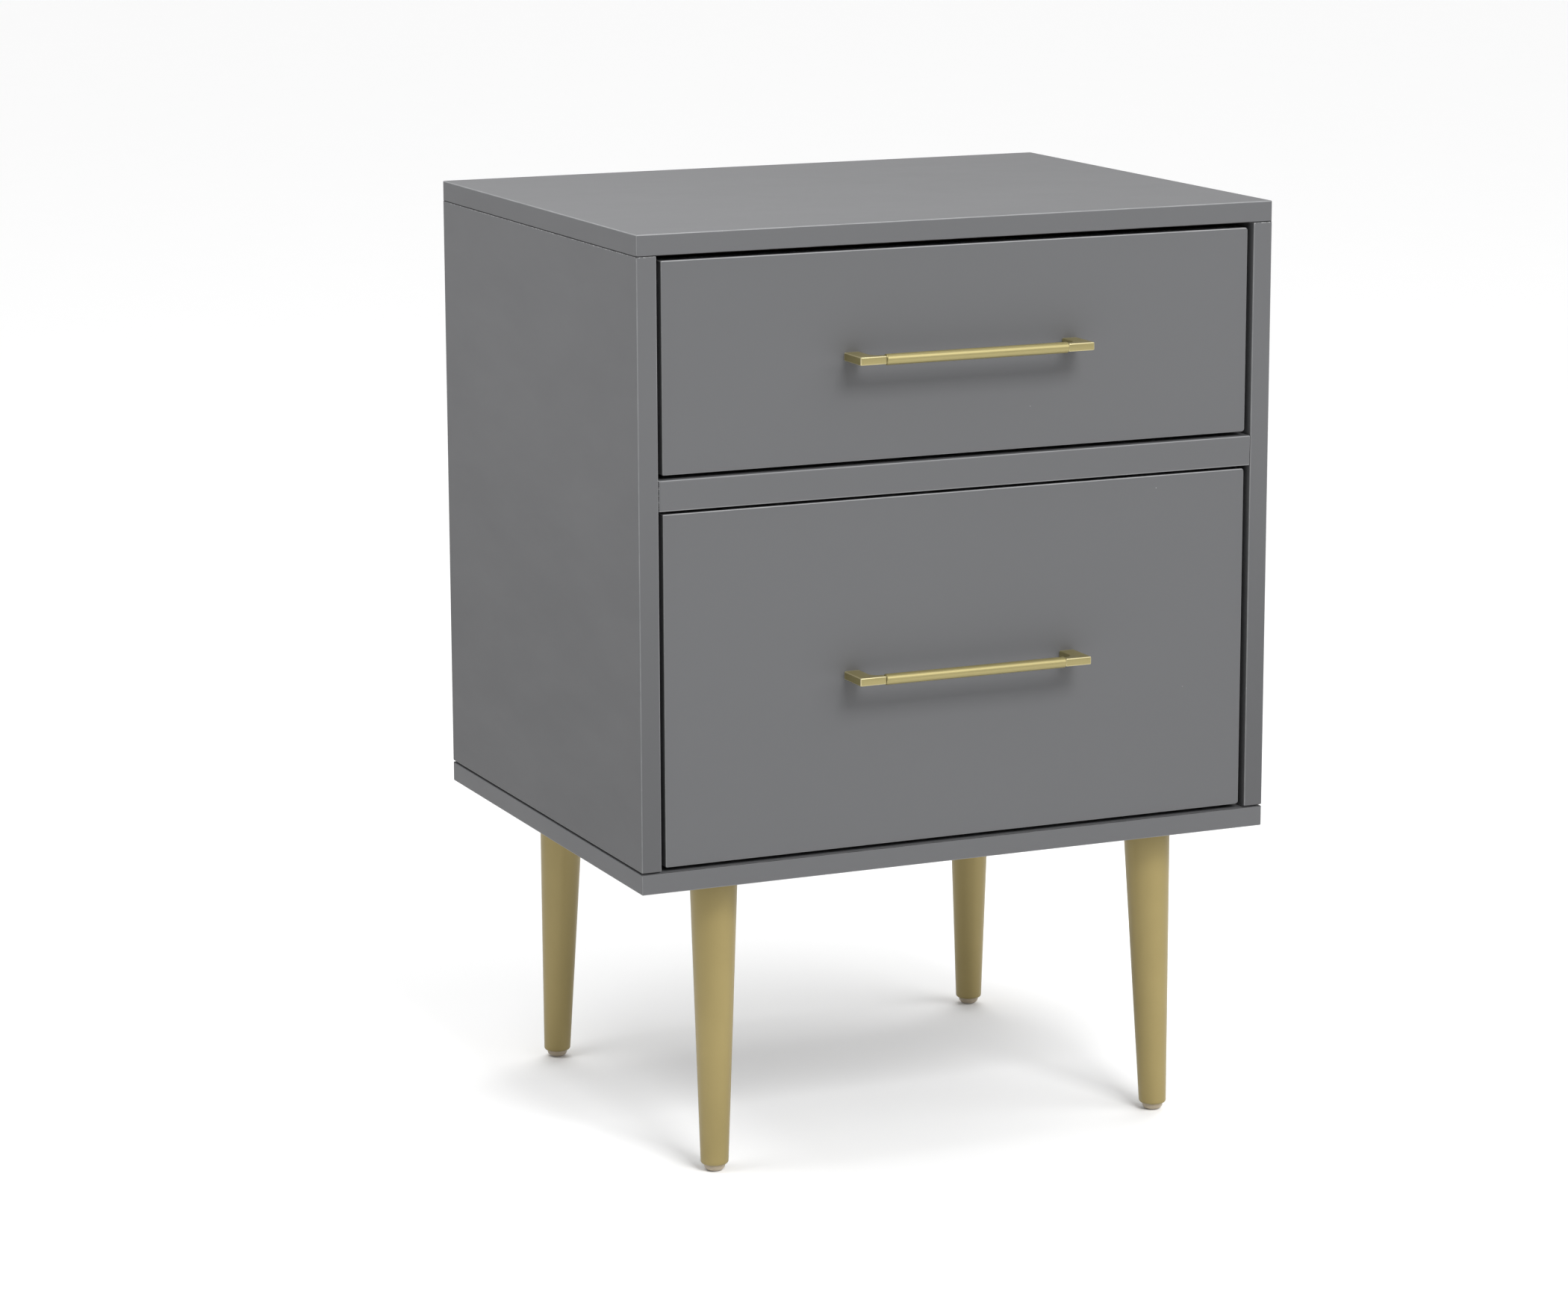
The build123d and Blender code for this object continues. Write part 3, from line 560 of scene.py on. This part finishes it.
def makePost(node, body, outerAtLow, material):
    low, high = boxOf(node)
    outer, inner, inward = (low.x, high.x, 1) if outerAtLow else (high.x, low.x, -1)
    footEnd = outer + inward * pullShape["footWidth"]
    armBack = low.y + pullShape["armDepth"]
    bend = pullShape["innerRound"]
    turn = [(footEnd + inward * bend * (1 - sin(a)), armBack + bend * (1 - cos(a))) for a in quarterTurn(8)]
    outline = [(outer, high.y), (outer, low.y), (inner, low.y), (inner, armBack)] + turn + [(footEnd, high.y)]
    bm = bmesh.new()
    face = bm.faces.new([bm.verts.new((x, y, low.z)) for x, y in outline])
    raised = bmesh.ops.extrude_face_region(bm, geom=[face])["geom"]
    lifted = [g for g in raised if isinstance(g, bmesh.types.BMVert)]
    bmesh.ops.translate(bm, verts=lifted, vec=(0, 0, high.z - low.z))
    bmesh.ops.remove_doubles(bm, verts=bm.verts, dist=0.01 * mm)
    bmesh.ops.recalc_face_normals(bm, faces=bm.faces)
    seat = high.y - 0.1 * mm
    crisp = [e for e in bm.edges if e.calc_face_angle(0) > radians(40)
             and min(v.co.y for v in e.verts) < seat]
    roundEdges(bm, crisp, pullShape["edgeRound"], 4)
    return finishPiece(node + "_cast", bm, body, material, (node,), 40)


for name in ("upper", "lower"):
    makeRod(name, pullGold(name + "_pull_rod", 0))
    for side in ("left", "right"):
        node = f"{name}_pull_{side}_post"
        makePost(node, name + "_drawer", side == "left", pullGold(node, 0))
print("pulls done")


# Drawer boxes, back board and hardware keep their shape and get their finishes
wood = {
    "early": (0.5, 0.365, 0.215),
    "late": (0.4, 0.275, 0.15),
    "pore": (0.3, 0.19, 0.095),
    "plyPale": (0.48, 0.35, 0.21),
    "plyDark": (0.26, 0.155, 0.075),
    "boardThickness": 12 * mm,
    "plies": 9,
}
beech = {"deep": (0.5, 0.33, 0.18), "pale": (0.66, 0.48, 0.3)}
hardboard = {"deep": (0.43, 0.41, 0.37), "pale": (0.49, 0.47, 0.43), "speck": (0.33, 0.3, 0.26)}
zincTint = {
    "sheet": (0.42, 0.435, 0.45),
    "screw": (0.42, 0.43, 0.44),
    "ball": (0.5, 0.51, 0.53),
    "castDeep": (0.4, 0.41, 0.43),
    "castPale": (0.52, 0.53, 0.55),
}


def zincSheet(name, along, tint):
    finish = Finish(name)
    stretch = [4.0 if i == along else 90.0 for i in range(3)]
    drawn = finish.noise(20, 3, 0.6, finish.place(scale=stretch))
    bloom = finish.noise(60, 3, 0.6)
    tone = finish.mix(bloom.between(0.35, 0.7), shaded(tint, 0.86), tint)
    rough = 0.3 + (drawn - 0.5) * 0.14 + (bloom - 0.5) * 0.14
    return finish.dress(colour=tone, roughness=rough, metallic=1.0, normal=finish.bump(drawn, 0.01 * mm, 0.4))


def castZinc():
    finish = Finish("cast zinc")
    skin = finish.noise(500, 3, 0.6)
    tone = finish.mix(skin, zincTint["castDeep"], zincTint["castPale"])
    normal = finish.bump(skin, 0.05 * mm, 0.6)
    return finish.dress(colour=tone, roughness=0.42 + (skin - 0.5) * 0.2, metallic=1.0, normal=normal)


def birchPly(node, along, thick):
    # veneer on the faces, and the plies on the sawn edges
    finish = Finish("birch ply " + node)
    grainScale = [45.0, 45.0, 45.0]
    grainScale[along] = 3.0
    place = finish.place(scale=grainScale)
    wave = finish.noise(1.0, 4, 0.55, place, 0.6)
    pores = finish.noise(9.0, 3, 0.6, place)
    veneer = finish.mix(wave.between(0.3, 0.72), wood["late"], wood["early"])
    veneer = finish.mix(pores.between(0.55, 0.75) * 0.35, veneer, wood["pore"])
    across = (finish.axes()[thick] - boxOf(node)[0][thick]) / wood["boardThickness"]
    layer = (across * (wood["plies"] / 2)).math("FRACT") > 0.5
    plies = finish.mix(layer, wood["plyPale"], wood["plyDark"])
    plies = finish.mix(pores.between(0.45, 0.7) * 0.4, plies, wood["pore"])
    facing = finish.node("ShaderNodeNewGeometry")["Normal"]
    lean = finish.node("ShaderNodeSeparateXYZ", {}, {0: facing})[thick]
    sawn = 1 - lean.math("ABSOLUTE").between(0.3, 0.6)
    tone = finish.mix(sawn, veneer, plies)
    normal = finish.bump(wave * 0.4 + pores * 0.6, 0.05 * mm, 0.5)
    return finish.dress(colour=tone, roughness=0.48 + (pores - 0.5) * 0.15, normal=normal)


def paleBoard(name):
    finish = Finish(name)
    fibres = finish.noise(1.0, 3, 0.6, finish.place(scale=(180, 14, 14)))
    speckle = finish.noise(700, 2, 0.6)
    tone = finish.mix(fibres.between(0.35, 0.65), hardboard["deep"], hardboard["pale"])
    tone = finish.mix(speckle.between(0.6, 0.8) * 0.2, tone, hardboard["speck"])
    normal = finish.bump(speckle, 0.02 * mm, 0.5)
    return finish.dress(colour=tone, roughness=0.46 + (speckle - 0.5) * 0.1, normal=normal)


def greyBoard(node):
    # the painted back board, a thin hardboard with its faint fibre
    finish = Finish("grey board " + node)
    fibres = finish.noise(260, 4, 0.65)
    cloud = finish.noise(5, 3, 0.6)
    tone = finish.mix(cloud, shaded(lacquer["grey"], 0.92), shaded(lacquer["grey"], 1.1))
    tone = finish.mix(fibres.between(0.55, 0.8) * 0.3, tone, shaded(lacquer["grey"], 1.5))
    normal = finish.bump(fibres, 0.06 * mm, 0.6)
    return finish.dress(colour=tone, roughness=0.6 + (fibres - 0.5) * 0.15, normal=normal, specular=0.25)


def bareBeech():
    finish = Finish("bare beech")
    fleck = finish.noise(1.0, 3, 0.6, finish.place(scale=(300, 300, 60)))
    tone = finish.mix(fleck, beech["deep"], beech["pale"])
    normal = finish.bump(fleck, 0.1 * mm, 0.4)
    return finish.dress(colour=tone, roughness=0.6 + (fleck - 0.5) * 0.1, normal=normal)


zinc = zincSheet("zinc plated sheet", 1, zincTint["sheet"])
screwSteel = zincSheet("zinc plated screw", 2, zincTint["screw"])
ballSteel = zincSheet("bright steel", 1, zincTint["ball"])
drawerBoard = paleBoard("pale hardboard")
for name in ("upper", "lower"):
    for side in ("left", "right"):
        node = f"{name}_box_{side}_side"
        setMaterial(node, birchPly(node, 1, 0))
        for member in ("cabinet_member", "middle_member", "drawer_member"):
            setMaterial(f"{name}_{side}_{member}", zinc)
    for end in ("front", "back"):
        node = f"{name}_box_{end}"
        setMaterial(node, birchPly(node, 0, 1))
    setMaterial(f"{name}_box_bottom", drawerBoard)
    for screws in ("pull_screws", "front_screws", "box_slide_screws"):
        setMaterial(f"{name}_{screws}", screwSteel)
    for cages in ("outer_ball_cages", "inner_ball_cages"):
        setMaterial(f"{name}_{cages}", ballSteel)
for node in ("cabinet_slide_screws", "cam_bolts", "leg_inserts", "hanger_bolts", "glide_nails"):
    setMaterial(node, screwSteel)
setMaterial("back_panel", greyBoard("back_panel"))
setMaterial("cam_locks", castZinc())
setMaterial("panel_dowels", bareBeech())
print("drawer boxes and hardware done")


# Pale floor
floorLook = {"size": 80.0, "colour": (0.96, 0.96, 0.96), "drop": 0.2 * mm}


def makeFloor():
    finish = Finish("pale floor")
    shade = finish.noise(6, 2, 0.5)
    tone = finish.mix(shade, floorLook["colour"], shaded(floorLook["colour"], 1.01))
    finish.dress(colour=tone, roughness=0.9 + (shade - 0.5) * 0.05)
    bm = bmesh.new()
    bmesh.ops.create_grid(bm, x_segments=1, y_segments=1, size=floorLook["size"] / 2)
    bmesh.ops.translate(bm, verts=bm.verts, vec=(0, 0, floorHeight - floorLook["drop"]))
    mesh = bpy.data.meshes.new("floor")
    bm.to_mesh(mesh)
    bm.free()
    mesh.materials.append(finish.material)
    floor = bpy.data.objects.new("floor", mesh)
    bpy.context.scene.collection.objects.link(floor)


makeFloor()

# Soft studio light. A lamp is its place, what it faces, its size and its watts;
# a broad source far off is its azimuth from the front, its height, its spread and its strength.
studio = {
    "sky": 0.5,
    "lamps": {
        "high front": ((0.2, -2.8, 2.8), (0, 0, 0.4), (1.3, 1.0), 80.0),
        "over the left side": ((-0.8, 0.0, 1.5), (-0.25, 0, 0.5), (0.6, 0.6), 8.0),
        "over the top": ((0.0, -0.1, 1.7), (0, 0, 0.5), (1.2, 1.2), 2.0),
    },
    "broad": {
        "front right": (40, 35, 50, 1.1),
        "back right": (150, 52, 50, 1.15),
    },
}


def addLamp(name, kind):
    light = bpy.data.lights.new(name, kind)
    lamp = bpy.data.objects.new(name, light)
    lamp.visible_camera = False
    bpy.context.scene.collection.objects.link(lamp)
    return light, lamp


def towards(azimuth, height):
    a, h = radians(azimuth), radians(height)
    return Vector((sin(a) * cos(h), -cos(a) * cos(h), sin(h)))


for name, (place, target, size, watts) in studio["lamps"].items():
    light, lamp = addLamp(name, "AREA")
    light.shape = "RECTANGLE"
    light.size, light.size_y = size
    light.energy = watts
    lamp.location = place
    lamp.rotation_euler = (Vector(place) - Vector(target)).to_track_quat("Z", "Y").to_euler()
for name, (azimuth, height, spread, strength) in studio["broad"].items():
    light, lamp = addLamp(name, "SUN")
    light.energy = strength
    light.angle = radians(spread)
    lamp.rotation_euler = towards(azimuth, height).to_track_quat("Z", "Y").to_euler()
world = bpy.data.worlds.new("studio")
world.use_nodes = True
sky = world.node_tree.nodes["Background"]
sky.inputs["Color"].default_value = (1, 1, 1, 1)
sky.inputs["Strength"].default_value = studio["sky"]
bpy.context.scene.world = world

# Camera
view = {"azimuth": -23.845, "height": 11.859, "roll": -0.19, "lens": 107.46,
        "place": (-1.45155, -3.14907, 1.06681)}


def makeCamera():
    back = towards(view["azimuth"], view["height"])
    right = Vector((0, 0, 1)).cross(back).normalized()
    up = back.cross(right)
    roll = radians(view["roll"])
    rolledRight = cos(roll) * right + sin(roll) * up
    rolledUp = cos(roll) * up - sin(roll) * right
    lens = bpy.data.cameras.new("camera")
    lens.lens = view["lens"]
    lens.sensor_width = 36.0
    lens.sensor_fit = "HORIZONTAL"
    camera = bpy.data.objects.new("camera", lens)
    turned = Matrix((rolledRight, rolledUp, back)).transposed().to_4x4()
    camera.matrix_world = Matrix.Translation(view["place"]) @ turned
    bpy.context.scene.collection.objects.link(camera)
    bpy.context.scene.camera = camera


makeCamera()
bpy.context.scene.view_settings.view_transform = "Standard"
print("floor, lights and camera done")
